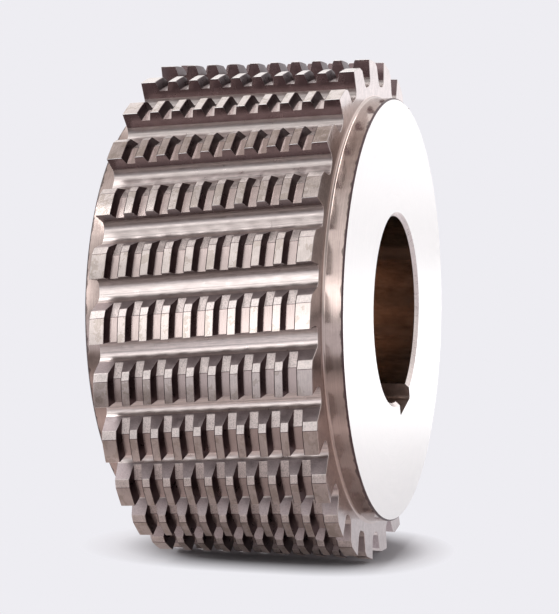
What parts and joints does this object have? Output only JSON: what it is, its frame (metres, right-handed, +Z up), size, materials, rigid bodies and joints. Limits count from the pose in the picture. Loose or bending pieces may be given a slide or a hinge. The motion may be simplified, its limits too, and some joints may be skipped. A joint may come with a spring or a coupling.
{
  "type": "rack milling cutter",
  "caption": "Solid arbor-mounted milling cutter with rings of form-relieved teeth on helical lands, for cutting several spaces of a gear rack in one pass.",
  "frame": {"origin": "centre of the bore, half way along it", "axes": "Y along the bore axis, with the hub face seen in the picture at -Y; +Z up, with two rows of teeth level below the bore"},
  "size_m": [0.16, 0.08, 0.1594],
  "materials": {
    "tool_steel": "ground"
  },
  "bodies": {
    "root": {"cutter_body": "tool_steel"}
  },
  "joints": []
}
